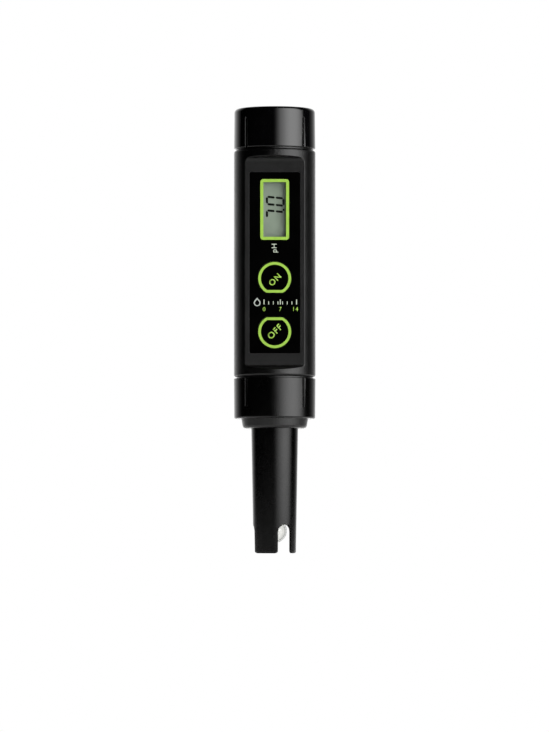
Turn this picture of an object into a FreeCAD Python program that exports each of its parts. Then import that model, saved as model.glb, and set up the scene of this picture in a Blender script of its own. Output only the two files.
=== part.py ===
import FreeCAD, Part
import math
import os

# pH test pen, built as separate pieces. The pen stands tip down: +Z runs up its axis, the printed
# front faces -Y, and the origin is on the axis at the tip of the electrode guard. Millimetres.

V = FreeCAD.Vector

# ------------------------------------------------------------------ driving dimensions
BARREL_R = 15.0                 # outside of the barrel; every outer piece is sized around it
WALL_BORE_R = 12.0              # bore of the barrel and of both threaded necks
FACET_Y = -10.2                 # plane of the flat front
FACET_Z = (68.3, 144.5)         # where its end walls would meet it if they were sharp
FACET_SLOPE = (0.28, 0.12)      # height gained by its lower and upper end wall per millimetre of depth
FACET_BLEND = (1.2, 2.3)        # radius of the blend at its lower and upper end
RING_Z = (49.3, 64.05)          # retaining ring
BARREL_Z = (64.6, 147.9)        # barrel between its two necks
BARREL_EDGE_R = (0.9, 0.95)     # rounding of its lower and upper edge
CAP_Z = (148.45, 163.25)        # battery cap
COLLAR_Z = 45.75                # underside of the electrode collar

# screw joints of the cap and of the ring
PITCH = 2.0
NECK_R = 14.0                   # plain land beside each thread
NECK_END_Z = (54.35, 158.4)
MALE_ROOT_R = 13.1
MALE_CREST_R = 13.6
FEMALE_CREST_R = 13.25
FEMALE_ROOT_R = 13.75
MOUTH_R = 14.15                 # counterbore that slides over the land
RIDGE_ROOT_W = 1.1              # axial width of a thread ridge where it leaves its wall
RIDGE_CREST_W = 0.55
THREAD_TURNS = 3.0
THREAD_Z = (55.6, 151.7)        # lower end of the thread on the bottom neck and on the top neck

# rubber rings
SEAL_WIRE_R = 0.6               # radius of the cord of both O-rings
SEAL_GAP = 0.03                 # running gap between an O-ring and the wall it slides on
NECK_SEAL_Z = 150.0
PLUG_SEAL_Z = 57.9

# grip grooves
GROOVE_HALF_W = 0.42            # between its straight walls
GROOVE_RIM_R = 0.42             # rounding of its mouth
GROOVE_DEPTH = 0.52
GROOVE_COUNT = 4
CAP_GROOVE_TOP_Z = 159.9
RING_GROOVE_BOTTOM_Z = 52.95

# printed front
LABEL_HALF_W = 9.2
LABEL_Z = (73.05, 139.25)
LABEL_FRONT_Y = -10.1
LABEL_BACK_Y = -9.8
LABEL_SEAT_Y = -9.78
WINDOW_HALF_W = 4.15
WINDOW_Z = (115.6, 135.65)
WINDOW_T = 0.9                  # thickness of the clear window
WINDOW_LAP = 1.1                # how far it reaches under the overlay on every side
FRONT_INNER_Y = -8.2            # inside face of the barrel behind the flat front

# keys
KEY_Z = {"on": 100.35, "off": 80.85}
KEY_FLAT_SIDE = {"on": -1, "off": 1}    # the straight side of each key faces the other key
KEY_R = 6.3
KEY_FLAT = 5.5                  # distance from the key's centre to its straight side
KEY_GAP = 0.15
KEY_BACK_Y = -9.5
KEY_POCKET_Y = -9.0
KEY_STEM_R = 1.5

# board and display
BOARD_Y = (-5.0, -4.0)
BOARD_HALF_W = 10.0
BOARD_Z = (72.5, 150.4)
GLASS_Y = (-8.15, -6.35)
GLASS_HALF_W = 6.4
GLASS_Z = (111.9, 139.7)
SWITCH_HALF = 3.1
SWITCH_FRONT_Y = -7.0
SWITCH_FLOOR_Y = -5.78          # bottom of the well that holds the snap dome
DOME_TOP_Y = -6.15
SWITCH_STEM_R = 1.7

# batteries
CELL_R = 5.8
CELL_H = 5.4
CELL_COUNT = 4
CELL_Y = 3.9                    # the battery tube stands behind the board
CELL_BASE_Z = 131.1
DECK_Z = (152.0, 154.0)
DECK_SCREW_XY = (9.2, -1.0)
DISC_Z = (159.3, 159.7)         # contact disc under the cap's ceiling
TRIMMER_Y = -7.5

# electrode
TUBE_TOP_R = 8.6
TUBE_TIP_R = 7.8
TUBE_BORE_R = 6.9
TUBE_END_Z = 55.0
GUARD_BORE_R = 6.4
BULKHEAD_Z = (11.6, 14.4)
SLOT_COUNT = 3
SLOT_HALF_W = 2.9
SLOT_TOP_Z = 10.6
FIRST_SLOT_DEG = 29.5           # from straight ahead, towards +X
BULB_R = 4.45
BULB_Z = 8.2
STEM_R = 4.0
GLASS_WALL = 0.5
STEM_TOP_Z = 51.4
JUNCTION_X = -5.7
JUNCTION_R = 0.5
REFERENCE_Y = 5.5
PIN_X = (-3.0, 0.0, 3.0)
PIN_Y = -1.2
PIN_R = 0.4
SOCKET_Z = (65.6, 73.5)
CARRIER_Z = (68.6, 70.6)
CARRIER_SCREW_XY = (8.6, 3.5)


# ------------------------------------------------------------------ shape helpers
def rounded_wire(points, place):
    """Closed wire through (a, b) or (a, b, corner radius) points; place(a, b) gives the 3-D point."""
    count = len(points)
    corners = []
    for i, point in enumerate(points):
        here = V(point[0], point[1], 0)
        radius = point[2] if len(point) > 2 else 0.0
        if radius == 0.0:
            corners.append((here, here, None))
            continue
        before = points[i - 1]
        after = points[(i + 1) % count]
        to_before = (V(before[0], before[1], 0) - here).normalize()
        to_after = (V(after[0], after[1], 0) - here).normalize()
        half_angle = to_before.getAngle(to_after) / 2
        reach = radius / math.tan(half_angle)
        middle = (to_before + to_after).normalize() * (radius / math.sin(half_angle) - radius)
        corners.append((here + to_before * reach, here + to_after * reach, here + middle))
    edges = []
    for i, (start, end, middle) in enumerate(corners):
        if middle is not None:
            edges.append(Part.Arc(place(start.x, start.y), place(middle.x, middle.y),
                                  place(end.x, end.y)).toShape())
        following = corners[(i + 1) % count][0]
        if (following - end).Length > 1e-6:
            edges.append(Part.makeLine(place(end.x, end.y), place(following.x, following.y)))
    return Part.Wire(edges)


def in_rz(r, z):
    return V(r, 0, z)


def revolve(points):
    """Solid of revolution about Z from a closed (r, z[, corner radius]) outline."""
    return Part.Face(rounded_wire(points, in_rz)).revolve(V(0, 0, 0), V(0, 0, 1), 360)


def cylinder(radius, z0, z1, x=0.0, y=0.0):
    return Part.makeCylinder(radius, z1 - z0, V(x, y, z0))


def y_cylinder(radius, y0, y1, x, z):
    return Part.makeCylinder(radius, y1 - y0, V(x, y0, z), V(0, 1, 0))


def grown(span, margin):
    return (span[0] - margin, span[1] + margin)


def block(x, y, z):
    """Box from three (low, high) pairs."""
    return Part.makeBox(x[1] - x[0], y[1] - y[0], z[1] - z[0], V(x[0], y[0], z[0]))


def front_plate(half_w, z, y, corner=0.0):
    """Rounded rectangle seen from the front, extruded from y[0] to y[1]."""
    outline = [(-half_w, z[0], corner), (half_w, z[0], corner),
               (half_w, z[1], corner), (-half_w, z[1], corner)]
    wire = rounded_wire(outline, lambda a, b: V(a, y[0], b))
    return Part.Face(wire).extrude(V(0, y[1] - y[0], 0))


def d_plate(radius, flat, z, flat_side, y):
    """Disc with one straight side, seen from the front, extruded from y[0] to y[1]."""
    half_chord = math.sqrt(radius ** 2 - flat ** 2)
    left = V(-half_chord, y[0], z + flat_side * flat)
    right = V(half_chord, y[0], z + flat_side * flat)
    far = V(0, y[0], z - flat_side * radius)
    wire = Part.Wire([Part.Arc(left, far, right).toShape(), Part.makeLine(right, left)])
    return Part.Face(wire).extrude(V(0, y[1] - y[0], 0))


def o_ring(centre_r, z):
    return Part.makeTorus(centre_r, SEAL_WIRE_R, V(0, 0, z), V(0, 0, 1))


def thread_ridge(wall_r, crest_r, z0, shift=0.0):
    """One helical ridge that leaves the wall at wall_r and ends at crest_r, right-handed."""
    into_wall = 0.1 if crest_r < wall_r else -0.1
    helix = Part.makeHelix(PITCH, THREAD_TURNS * PITCH, wall_r)
    corners = [V(wall_r + into_wall, 0, -RIDGE_ROOT_W / 2), V(crest_r, 0, -RIDGE_CREST_W / 2),
               V(crest_r, 0, RIDGE_CREST_W / 2), V(wall_r + into_wall, 0, RIDGE_ROOT_W / 2)]
    profile = Part.makePolygon(corners + corners[:1])
    ridge = Part.Wire(helix).makePipeShell([profile], True, True)
    ridge.translate(V(0, 0, z0 + shift))
    return ridge


def lead(points, radius):
    """Round wire along a smooth curve through the points."""
    curve = Part.BSplineCurve()
    curve.interpolate([V(*p) for p in points])
    path = Part.Wire(curve.toShape())
    start = V(*points[0])
    profile = Part.Wire(Part.makeCircle(radius, start, curve.tangent(curve.FirstParameter)[0]))
    return path.makePipeShell([profile], True, True)


def fuse_all(shapes):
    return shapes[0].multiFuse(shapes[1:]) if len(shapes) > 1 else shapes[0]


def both_sides(shape):
    """The shape and its mirror image across the pen's middle plane."""
    return [shape, shape.mirror(V(0, 0, 0), V(1, 0, 0))]


def grip_grooves(surface_r, z_open, z_round):
    """Cutters for the grip grooves of a piece: rounded mouth, one end open, the other half-round."""
    bottom_r, rim_r, out_r = surface_r - GROOVE_DEPTH, surface_r - GROOVE_RIM_R, surface_r + 1.0
    mouth = GROOVE_HALF_W + GROOVE_RIM_R
    flare = mouth + 1.8
    diagonal = GROOVE_RIM_R * math.sqrt(0.5)
    end_r = mouth + 0.02        # the half-round end is centred this far from z_round
    z_centre = z_round - math.copysign(end_r, z_round - z_open)

    def half_outline(place):
        """Edges from the middle of the bottom, up the wall and over the rounded mouth to the outside."""
        wall_foot, wall_top = place(bottom_r, GROOVE_HALF_W), place(rim_r, GROOVE_HALF_W)
        bend = place(rim_r + diagonal, mouth - diagonal)
        surface, outside = place(surface_r, mouth), place(out_r, flare)
        return [Part.makeLine(place(bottom_r, 0), wall_foot), Part.makeLine(wall_foot, wall_top),
                Part.Arc(wall_top, bend, surface).toShape(), Part.makeLine(surface, outside),
                Part.makeLine(outside, place(out_r, 0))]

    axis_line = Part.makeLine(V(out_r, 0, z_centre), V(bottom_r, 0, z_centre))
    half = Part.Face(Part.Wire(half_outline(lambda r, w: V(r, w, z_centre)) + [axis_line]))
    round_end = half.revolve(V(0, 0, z_centre), V(1, 0, 0), 360)
    run = half.extrude(V(0, 0, z_open - z_centre))
    slot = round_end.fuse([run, run.mirror(V(0, 0, 0), V(0, 1, 0))])
    cutters = []
    for i in range(GROOVE_COUNT):
        cutter = slot.copy()
        cutter.rotate(V(0, 0, 0), V(0, 0, 1), 45 + i * 360 / GROOVE_COUNT)
        cutters.append(cutter)
    return fuse_all(cutters)


# ------------------------------------------------------------------ barrel
def facet_cutter():
    """Takes the flat front out of the round barrel; its end walls slope out through a wide blend."""
    outside_y = -17.0
    depth = FACET_Y - outside_y
    side_view = [(outside_y, FACET_Z[0] - FACET_SLOPE[0] * depth), (FACET_Y, FACET_Z[0], FACET_BLEND[0]),
                 (FACET_Y, FACET_Z[1], FACET_BLEND[1]), (outside_y, FACET_Z[1] + FACET_SLOPE[1] * depth)]
    return Part.Face(rounded_wire(side_view, lambda a, b: V(-13, a, b))).extrude(V(26, 0, 0))


def rim_edges(shape):
    """Edges where the flat front meets the round outside."""
    found = []
    for edge in shape.Edges:
        box = edge.BoundBox
        inside = box.ZMin > FACET_Z[0] - 3 and box.ZMax < FACET_Z[1] + 3 and box.YMax < FACET_Y + 0.1
        middle = edge.valueAt((edge.FirstParameter + edge.LastParameter) / 2)
        on_surface = abs(math.hypot(middle.x, middle.y) - BARREL_R) < 1e-3
        if inside and on_surface:
            found.append(edge)
    return found


def barrel():
    """Moulded barrel: flat front, two threaded necks, board rails and screw posts inside."""
    lead_in = 0.35
    seal_root = MOUTH_R - SEAL_GAP - 2 * SEAL_WIRE_R - 0.02
    seal_low = NECK_SEAL_Z - 0.85
    seal_high = NECK_SEAL_Z + 0.85
    outer = revolve([
        (0, NECK_END_Z[0]), (MALE_ROOT_R, NECK_END_Z[0], lead_in),
        (MALE_ROOT_R, 62.4), (NECK_R, 62.9), (NECK_R, BARREL_Z[0]),
        (BARREL_R, BARREL_Z[0], BARREL_EDGE_R[0]), (BARREL_R, BARREL_Z[1], BARREL_EDGE_R[1]),
        (NECK_R, BARREL_Z[1]), (NECK_R, seal_low), (seal_root, seal_low),
        (seal_root, seal_high), (MALE_ROOT_R, seal_high),
        (MALE_ROOT_R, NECK_END_Z[1], lead_in), (0, NECK_END_Z[1])])
    outer.rotate(V(0, 0, 0), V(0, 0, 1), -90)       # puts the seam of the round outside in the flat front
    body = outer.cut(facet_cutter())
    body = body.makeFillet(0.3, rim_edges(body))

    cavity = cylinder(WALL_BORE_R, NECK_END_Z[0] - 1, NECK_END_Z[1] + 1)
    front_land = block((-13, 13), (-13, FRONT_INNER_Y), (66.3, 146.5))
    body = body.cut(cavity.cut(front_land))

    label_seat = front_plate(LABEL_HALF_W + 0.12, grown(LABEL_Z, 0.12), (LABEL_SEAT_Y - 2, LABEL_SEAT_Y), 0.5)
    window_seat = front_plate(WINDOW_HALF_W + WINDOW_LAP + 0.1, grown(WINDOW_Z, WINDOW_LAP + 0.1),
                              (-11, LABEL_SEAT_Y + WINDOW_T + 0.04), 0.6)
    window_hole = front_plate(WINDOW_HALF_W + 0.4, grown(WINDOW_Z, 0.4), (-11, -7), 0.4)
    cutters = [label_seat, window_seat, window_hole]
    for name, z in KEY_Z.items():
        cutters.append(d_plate(KEY_R + KEY_GAP, KEY_FLAT + KEY_GAP, z, KEY_FLAT_SIDE[name],
                               (LABEL_SEAT_Y - 1, KEY_POCKET_Y)))
        cutters.append(y_cylinder(KEY_STEM_R + KEY_GAP, KEY_POCKET_Y - 0.5, -7, 0, z))
    body = body.cut(fuse_all(cutters))

    inside = cylinder(WALL_BORE_R + 0.3, BARREL_Z[0], NECK_END_Z[1])
    rail = block((9.4, 13), (BOARD_Y[1] + 0.05, BOARD_Y[1] + 1.25), (74, 146))
    deck_post = screw_post(DECK_SCREW_XY, (144.0, DECK_Z[0] - 0.05))
    carrier_post = screw_post(CARRIER_SCREW_XY, (CARRIER_Z[1] + 0.05, 78.0))
    fixtures = both_sides(rail) + both_sides(deck_post) + both_sides(carrier_post)
    body = body.fuse([shape.common(inside) for shape in fixtures])
    holes = both_sides(cylinder(1.0, 145.0, 153.0, *DECK_SCREW_XY))
    holes += both_sides(cylinder(1.0, 69.0, 77.0, *CARRIER_SCREW_XY))
    body = body.cut(fuse_all(holes))
    return body.fuse([thread_ridge(MALE_ROOT_R, MALE_CREST_R, z0) for z0 in THREAD_Z])


def screw_post(xy, z):
    """Post for a self-tapping screw, joined to the barrel's wall on its +X side."""
    post_r = 2.2
    web = block((xy[0], 13), (xy[1] - post_r, xy[1] + post_r), z)
    return cylinder(post_r, z[0], z[1], *xy).fuse(web)


# ------------------------------------------------------------------ printed front and keys
def front_overlay():
    """Printed polyester sheet with openings for the display and the two keys."""
    sheet = front_plate(LABEL_HALF_W, LABEL_Z, (LABEL_FRONT_Y, LABEL_BACK_Y), 0.4)
    depth = (LABEL_FRONT_Y - 1, LABEL_BACK_Y + 1)
    openings = [front_plate(WINDOW_HALF_W, WINDOW_Z, depth, 0.3)]
    for name, z in KEY_Z.items():
        openings.append(d_plate(KEY_R + KEY_GAP, KEY_FLAT + KEY_GAP, z, KEY_FLAT_SIDE[name], depth))
    return sheet.cut(fuse_all(openings))


def display_window():
    """Clear plate that sits on a ledge in the barrel, held down by the overlay's edge."""
    return front_plate(WINDOW_HALF_W + WINDOW_LAP, grown(WINDOW_Z, WINDOW_LAP),
                       (LABEL_SEAT_Y + 0.02, LABEL_SEAT_Y + 0.02 + WINDOW_T), 0.5)


def key(name):
    """Key cap, flush with the overlay, and the stem that reaches its switch."""
    z = KEY_Z[name]
    plate = d_plate(KEY_R, KEY_FLAT, z, KEY_FLAT_SIDE[name], (LABEL_FRONT_Y, KEY_BACK_Y))
    front_rim = [e for e in plate.Edges if e.BoundBox.YMax < LABEL_FRONT_Y + 0.01]
    plate = plate.makeFillet(0.1, front_rim)
    return plate.fuse(y_cylinder(KEY_STEM_R, KEY_BACK_Y - 0.1, -7.92, 0, z))


def switch_stem(name):
    return y_cylinder(SWITCH_STEM_R, -7.9, DOME_TOP_Y - 0.03, 0, KEY_Z[name])


def switch_dome(name):
    """Snap dome, drawn as it stands with the key released."""
    rim_r = 1.55
    rise = SWITCH_FLOOR_Y - 0.02 - DOME_TOP_Y
    sheet = 0.06
    sphere_r = (rim_r ** 2 + rise ** 2) / (2 * rise)
    centre = V(0, DOME_TOP_Y + sphere_r, KEY_Z[name])
    shell = Part.makeSphere(sphere_r, centre).cut(Part.makeSphere(sphere_r - sheet, centre))
    keep = y_cylinder(rim_r, DOME_TOP_Y - 1, DOME_TOP_Y + rise, 0, KEY_Z[name])
    return shell.common(keep)


def switch_housings():
    """Two low square switch bodies with a well for the stem and two solder legs a side."""
    housings = []
    for z in KEY_Z.values():
        depth = (SWITCH_FRONT_Y, BOARD_Y[0] - 0.02)
        body = front_plate(SWITCH_HALF, grown((z, z), SWITCH_HALF), depth, 0.3)
        well = y_cylinder(SWITCH_STEM_R + 0.08, SWITCH_FRONT_Y - 1, SWITCH_FLOOR_Y, 0, z)
        legs = []
        for side in (-1, 1):
            for row in (-2.2, 2.2):
                low, high = sorted((side * (SWITCH_HALF - 0.1), side * (SWITCH_HALF + 0.9)))
                legs.append(block((low, high), (-5.35, BOARD_Y[0] - 0.02), (z + row - 0.35, z + row + 0.35)))
        housings.append(body.cut(well).fuse(legs))
    return Part.makeCompound(housings)


# ------------------------------------------------------------------ display and board
def lcd_glass():
    """Two bonded glass plates; the rear one is a little wider, for the contact ledge."""
    split = (GLASS_Y[0] + GLASS_Y[1]) / 2
    front = front_plate(GLASS_HALF_W - 0.9, GLASS_Z, (GLASS_Y[0], split), 0.1)
    rear = front_plate(GLASS_HALF_W, GLASS_Z, (split, GLASS_Y[1]), 0.1)
    return front.fuse(rear)


def lcd_reflector():
    return front_plate(4.5, (GLASS_Z[0] + 0.6, GLASS_Z[1] - 0.6), (GLASS_Y[1] + 0.02, GLASS_Y[1] + 0.2), 0.1)


def lcd_frame():
    """Plastic frame that holds the glass square to the board."""
    outer = front_plate(7.7, (GLASS_Z[0] - 1.5, GLASS_Z[1] + 1.5), (-8.1, BOARD_Y[0] - 0.02), 0.8)
    inner = front_plate(GLASS_HALF_W + 0.08, (GLASS_Z[0] - 0.08, GLASS_Z[1] + 0.08), (-9, -4), 0.1)
    return outer.cut(inner)


def zebra_strips():
    strip = block((4.75, 6.15), (GLASS_Y[1] + 0.02, BOARD_Y[0] - 0.02), (GLASS_Z[0] + 1, GLASS_Z[1] - 1))
    return Part.makeCompound(both_sides(strip))


def main_board():
    """Circuit board that stands behind the display, with four tooling holes."""
    board = front_plate(BOARD_HALF_W, BOARD_Z, BOARD_Y, 0.8)
    holes = []
    for x in (-8.0, 8.0):
        for z in (76.5, 145.0):
            holes.append(y_cylinder(0.8, BOARD_Y[0] - 1, BOARD_Y[1] + 1, x, z))
    return board.cut(fuse_all(holes))


def chip(z, half_x, half_z, height, pins_per_side, gap):
    """Moulded chip on the board's rear face with a row of bent leads on its two long sides."""
    base = BOARD_Y[1] + 0.02
    body = front_plate(half_x, (z - half_z, z + half_z), (base + 0.15, base + 0.15 + height), 0.15)
    mark = y_cylinder(0.45, base + 0.05 + height, base + 1 + height, -half_x + 1.1, z + half_z - 1.1)
    leads = []
    first = -gap * (pins_per_side - 1) / 2
    for i in range(pins_per_side):
        row = z + first + i * gap
        for side in (-1, 1):
            arm = sorted((side * (half_x - 0.1), side * (half_x + 0.5)))
            foot = sorted((side * (half_x + 0.3), side * (half_x + 1.1)))
            span = (row - 0.18, row + 0.18)
            leads.append(block(arm, (base + height / 2, base + height / 2 + 0.2), span))
            leads.append(block((min(foot), max(foot)), (base, base + 0.2), span))
            post = sorted((side * (half_x + 0.3), side * (half_x + 0.5)))
            leads.append(block(post, (base, base + height / 2 + 0.2), span))
    return body.cut(mark).fuse(leads)


def measuring_chip():
    return chip(105.0, 3.0, 3.9, 1.5, 6, 1.27)


def controller_chip():
    return chip(88.0, 5.0, 5.0, 1.4, 11, 0.8)


def surface_parts():
    """Resistors and ceramic capacitors on the board's rear face, in three loose rows."""
    base = BOARD_Y[1] + 0.02
    parts = []
    for column, x in enumerate((-7.6, -5.2, 5.2, 7.6)):
        for row in range(4):
            z = 96.5 - 0.9 * (column % 2) + 1.0 + row * 5.4
            if abs(x) < 6 and 99 < z < 111:
                continue
            tall = 0.9 if row % 2 else 0.55
            parts.append(block((x - 0.8, x + 0.8), (base, base + tall), (z - 0.4, z + 0.4)))
    return Part.makeCompound(parts)


def storage_capacitor():
    """Aluminium can capacitor on its plastic foot, on the board's rear face."""
    base = BOARD_Y[1] + 0.02
    foot = front_plate(2.6, (118.4, 123.6), (base, base + 0.9), 0.5)
    can = y_cylinder(2.3, base + 0.5, base + 5.6, 0, 121.0)
    groove = y_cylinder(3.0, base + 1.5, base + 1.9, 0, 121.0)
    groove = groove.cut(y_cylinder(2.1, base + 1, base + 3, 0, 121.0))
    return foot.fuse(can).cut(groove)


def trimmer_housing():
    """Calibration trimmer on the board's front face, its rotor well open towards the battery cap."""
    half, low, high = 2.3, 146.9, 150.3
    body = block((-half, half), (TRIMMER_Y - half, BOARD_Y[0] - 0.02), (low, high))
    well = cylinder(1.75, high - 1.4, high + 1, 0, TRIMMER_Y)
    return body.cut(well)


def trimmer_rotor():
    """Brass rotor with a screwdriver slot and a pointer notch, turned from above."""
    low, high = 148.95, 150.6
    rotor = cylinder(1.7, low, high, 0, TRIMMER_Y)
    slot = block((-2, 2), (TRIMMER_Y - 0.3, TRIMMER_Y + 0.3), (high - 0.7, high + 1))
    pointer = block((-0.3, 0.3), (TRIMMER_Y - 2, TRIMMER_Y), (high - 0.35, high + 1))
    return rotor.cut(slot).cut(pointer)


# ------------------------------------------------------------------ batteries and contacts
def battery_holder():
    """Deck across the top of the barrel with a tube below it for the button cells."""
    bore_r = CELL_R + 0.15
    tube_r = 7.0
    base_z = CELL_BASE_Z - 1.5
    deck = cylinder(WALL_BORE_R - 0.1, *DECK_Z)
    tube = cylinder(tube_r, base_z, DECK_Z[0] + 0.5, 0, CELL_Y)
    body = deck.fuse(tube)
    cutters = [cylinder(bore_r, base_z + 1.2, DECK_Z[1] + 1, 0, CELL_Y),
               cylinder(2.0, DECK_Z[0] - 1, DECK_Z[1] + 1, 0, TRIMMER_Y),
               block((4.0, 7.2), (-9.4, -8.9), (DECK_Z[0] - 1, DECK_Z[1] + 1)),
               block((-1.6, 1.6), (CELL_Y + 4.5, CELL_Y + 8), (base_z + 2.5, DECK_Z[0] - 4)),
               block((-1.0, 1.0), (CELL_Y - 8, CELL_Y - 4.2), (base_z - 1, base_z + 1.6))]
    cutters += both_sides(cylinder(1.15, DECK_Z[0] - 1, DECK_Z[1] + 1, *DECK_SCREW_XY))
    return body.cut(fuse_all(cutters))


def button_cells():
    """Four button cells in series: each a can with its smaller negative end downwards."""
    cells = []
    for i in range(CELL_COUNT):
        z = CELL_BASE_Z + i * CELL_H
        cell = revolve([(0, z), (4.6, z), (4.6, z + 0.35), (CELL_R, z + 0.35, 0.25),
                        (CELL_R, z + CELL_H, 0.35), (0, z + CELL_H)])
        cell.translate(V(0, CELL_Y, 0))
        cells.append(cell)
    return Part.makeCompound(cells)


def battery_base_contact():
    """Plate under the lowest cell; its tail is soldered flat to the board's rear face."""
    span = (CELL_BASE_Z - 0.28, CELL_BASE_Z - 0.02)
    board_face = BOARD_Y[1] + 0.02
    plate = cylinder(4.4, *span, 0, CELL_Y)
    tail = block((-0.8, 0.8), (board_face, CELL_Y), span)
    solder_tab = block((-0.8, 0.8), (board_face, board_face + 0.26), (CELL_BASE_Z - 4.0, span[1]))
    return plate.fuse([tail, solder_tab])


def return_contact():
    """Spring strip from the board up through the deck to the rim of the cap's contact disc."""
    width = (4.2, 7.0)
    top = DISC_Z[0] - 0.08
    upright = block(width, (-9.3, -9.0), (147.4, top))
    foot = block(width, (-9.3, BOARD_Y[0] - 0.02), (147.4, 147.7))
    finger = block(width, (-9.3, -5.4), (top - 0.3, top))
    return upright.fuse([foot, finger])


def pan_screw(xy, head_z, tip_z):
    """Small cross-head screw. The head sits at head_z and the shank ends at tip_z."""
    up = 1 if head_z > tip_z else -1
    low, high = sorted((head_z, head_z + up * 1.3))
    head = cylinder(1.8, low, high, *xy)
    rim = [e for e in head.Edges if abs(e.BoundBox.ZMax - (head_z + up * 1.3)) < 1e-6
           and abs(e.BoundBox.ZMin - e.BoundBox.ZMax) < 1e-6]
    head = head.makeFillet(0.45, rim)
    low, high = sorted((tip_z, head_z + up * 0.1))
    shank = cylinder(0.97, low, high, *xy)
    recess_low, recess_high = sorted((head_z + up * 0.6, head_z + up * 2))
    arm, half = 1.0, 0.17
    x, y = xy
    cross = block((x - arm, x + arm), (y - half, y + half), (recess_low, recess_high))
    cross = cross.fuse(block((x - half, x + half), (y - arm, y + arm), (recess_low, recess_high)))
    return head.fuse(shank).cut(cross)


def deck_screws():
    x, y = DECK_SCREW_XY
    head_z = DECK_Z[1] + 0.02
    return Part.makeCompound([pan_screw((side * x, y), head_z, 146.0) for side in (-1, 1)])


# ------------------------------------------------------------------ battery cap and its contact
def battery_cap():
    """Screw cap with four grip grooves; a staked stud inside carries the contact disc."""
    ceiling = 160.4
    stud_r, head_r = 1.5, 2.4
    shell = revolve([
        (0, CAP_Z[1]), (BARREL_R - 0.18, CAP_Z[1], 1.5), (BARREL_R - 0.03, CAP_Z[0], 0.45),
        (MOUTH_R, CAP_Z[0], 0.15), (MOUTH_R, 151.0), (FEMALE_ROOT_R, 151.4),
        (FEMALE_ROOT_R, 159.0), (11.6, ceiling, 0.6), (stud_r, ceiling), (stud_r, DISC_Z[0] - 0.06),
        (head_r, DISC_Z[0] - 0.06), (head_r, DISC_Z[0] - 0.7, 0.3), (0, DISC_Z[0] - 0.7)])
    shell = shell.cut(grip_grooves(BARREL_R - 0.09, CAP_Z[0] - 1, CAP_GROOVE_TOP_Z))
    return shell.fuse(thread_ridge(FEMALE_ROOT_R, FEMALE_CREST_R, THREAD_Z[1], PITCH / 2))


def cap_contact_disc():
    """Stamped disc that spins on the cap's stud, so that it stays still on the cells."""
    disc = cylinder(9.0, *DISC_Z)
    return disc.cut(cylinder(1.6, DISC_Z[0] - 1, DISC_Z[1] + 1))


def cap_contact_spring():
    """Conical spring between the contact disc and the top cell, narrow end on the cell."""
    wire_r = 0.3
    small_r = 1.2
    large_r = 4.0
    turns = 4.0
    low = CELL_BASE_Z + CELL_COUNT * CELL_H + 0.03 + wire_r
    height = DISC_Z[0] - 0.03 - wire_r - low
    spread = math.degrees(math.atan((large_r - small_r) / height))
    helix = Part.makeHelix(height / turns, height, small_r, spread)
    profile = Part.Wire(Part.makeCircle(wire_r, V(small_r, 0, 0), V(0, 1, 0)))
    spring = Part.Wire(helix).makePipeShell([profile], True, True)
    spring.translate(V(0, 0, low))
    return spring


def neck_seal():
    return o_ring(MOUTH_R - SEAL_GAP - SEAL_WIRE_R, NECK_SEAL_Z)


# ------------------------------------------------------------------ electrode socket in the barrel
def electrode_socket():
    """Carrier across the lower end of the barrel with the block that holds the three contacts."""
    disc = cylinder(WALL_BORE_R - 0.1, *CARRIER_Z)
    disc = disc.cut(block((-13, 13), (-13, FRONT_INNER_Y + 0.1), (60, 80)))
    housing = block((-5.6, 5.6), (PIN_Y - 2.3, PIN_Y + 2.3), SOCKET_Z)
    cutters = [cylinder(0.87, SOCKET_Z[0] + 0.9, SOCKET_Z[1] + 1, x, PIN_Y) for x in PIN_X]
    cutters += [cylinder(0.6, SOCKET_Z[0] - 1, SOCKET_Z[0] + 1, x, PIN_Y) for x in PIN_X]
    cutters += both_sides(cylinder(1.15, CARRIER_Z[0] - 1, CARRIER_Z[1] + 1, *CARRIER_SCREW_XY))
    return disc.fuse(housing).cut(fuse_all(cutters))


def socket_contacts():
    """Three gold-plated sleeves that take the electrode's pins, each with a solder tail."""
    sleeves = []
    for x in PIN_X:
        sleeve = cylinder(0.85, 66.6, 72.0, x, PIN_Y).fuse(cylinder(0.35, 71.5, 75.5, x, PIN_Y))
        sleeves.append(sleeve.cut(cylinder(PIN_R + 0.05, 66, 71.2, x, PIN_Y)))
    return Part.makeCompound(sleeves)


def socket_screws():
    x, y = CARRIER_SCREW_XY
    head_z = CARRIER_Z[0] - 0.02
    return Part.makeCompound([pan_screw((side * x, y), head_z, 76.4) for side in (-1, 1)])


def signal_leads():
    """Three thin leads from the socket's tails to the board's rear face."""
    leads = []
    for x in PIN_X:
        turn_x = x * 0.9
        route = [(x, PIN_Y, 75.72), (x, PIN_Y + 0.2, 77.2), (turn_x, -2.2, 78.6), (turn_x, -3.6, 79.0)]
        leads.append(lead(route, 0.3))
    return Part.makeCompound(leads)


# ------------------------------------------------------------------ electrode module
def electrode_collar():
    """Tapered collar, the flange that the ring clamps, and the plug that enters the barrel."""
    flange_r = 12.95
    plug_r = WALL_BORE_R - 0.1
    seal_root = WALL_BORE_R - SEAL_GAP - 2 * SEAL_WIRE_R - 0.02
    tube_hole = TUBE_TOP_R + 0.05
    return revolve([
        (tube_hole, COLLAR_Z, 0.2), (11.62, COLLAR_Z, 1.2), (12.3, RING_Z[0]), (12.3, 52.25),
        (flange_r, 52.25), (flange_r, NECK_END_Z[0] - 0.05), (plug_r, NECK_END_Z[0] - 0.05),
        (plug_r, PLUG_SEAL_Z - 0.85), (seal_root, PLUG_SEAL_Z - 0.85), (seal_root, PLUG_SEAL_Z + 0.85),
        (plug_r, PLUG_SEAL_Z + 0.85), (plug_r, 62.0, 0.6), (9.6, 62.0), (9.6, 60.0),
        (8.0, 60.0), (8.0, TUBE_END_Z + 0.1), (tube_hole, TUBE_END_Z + 0.1)])


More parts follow.
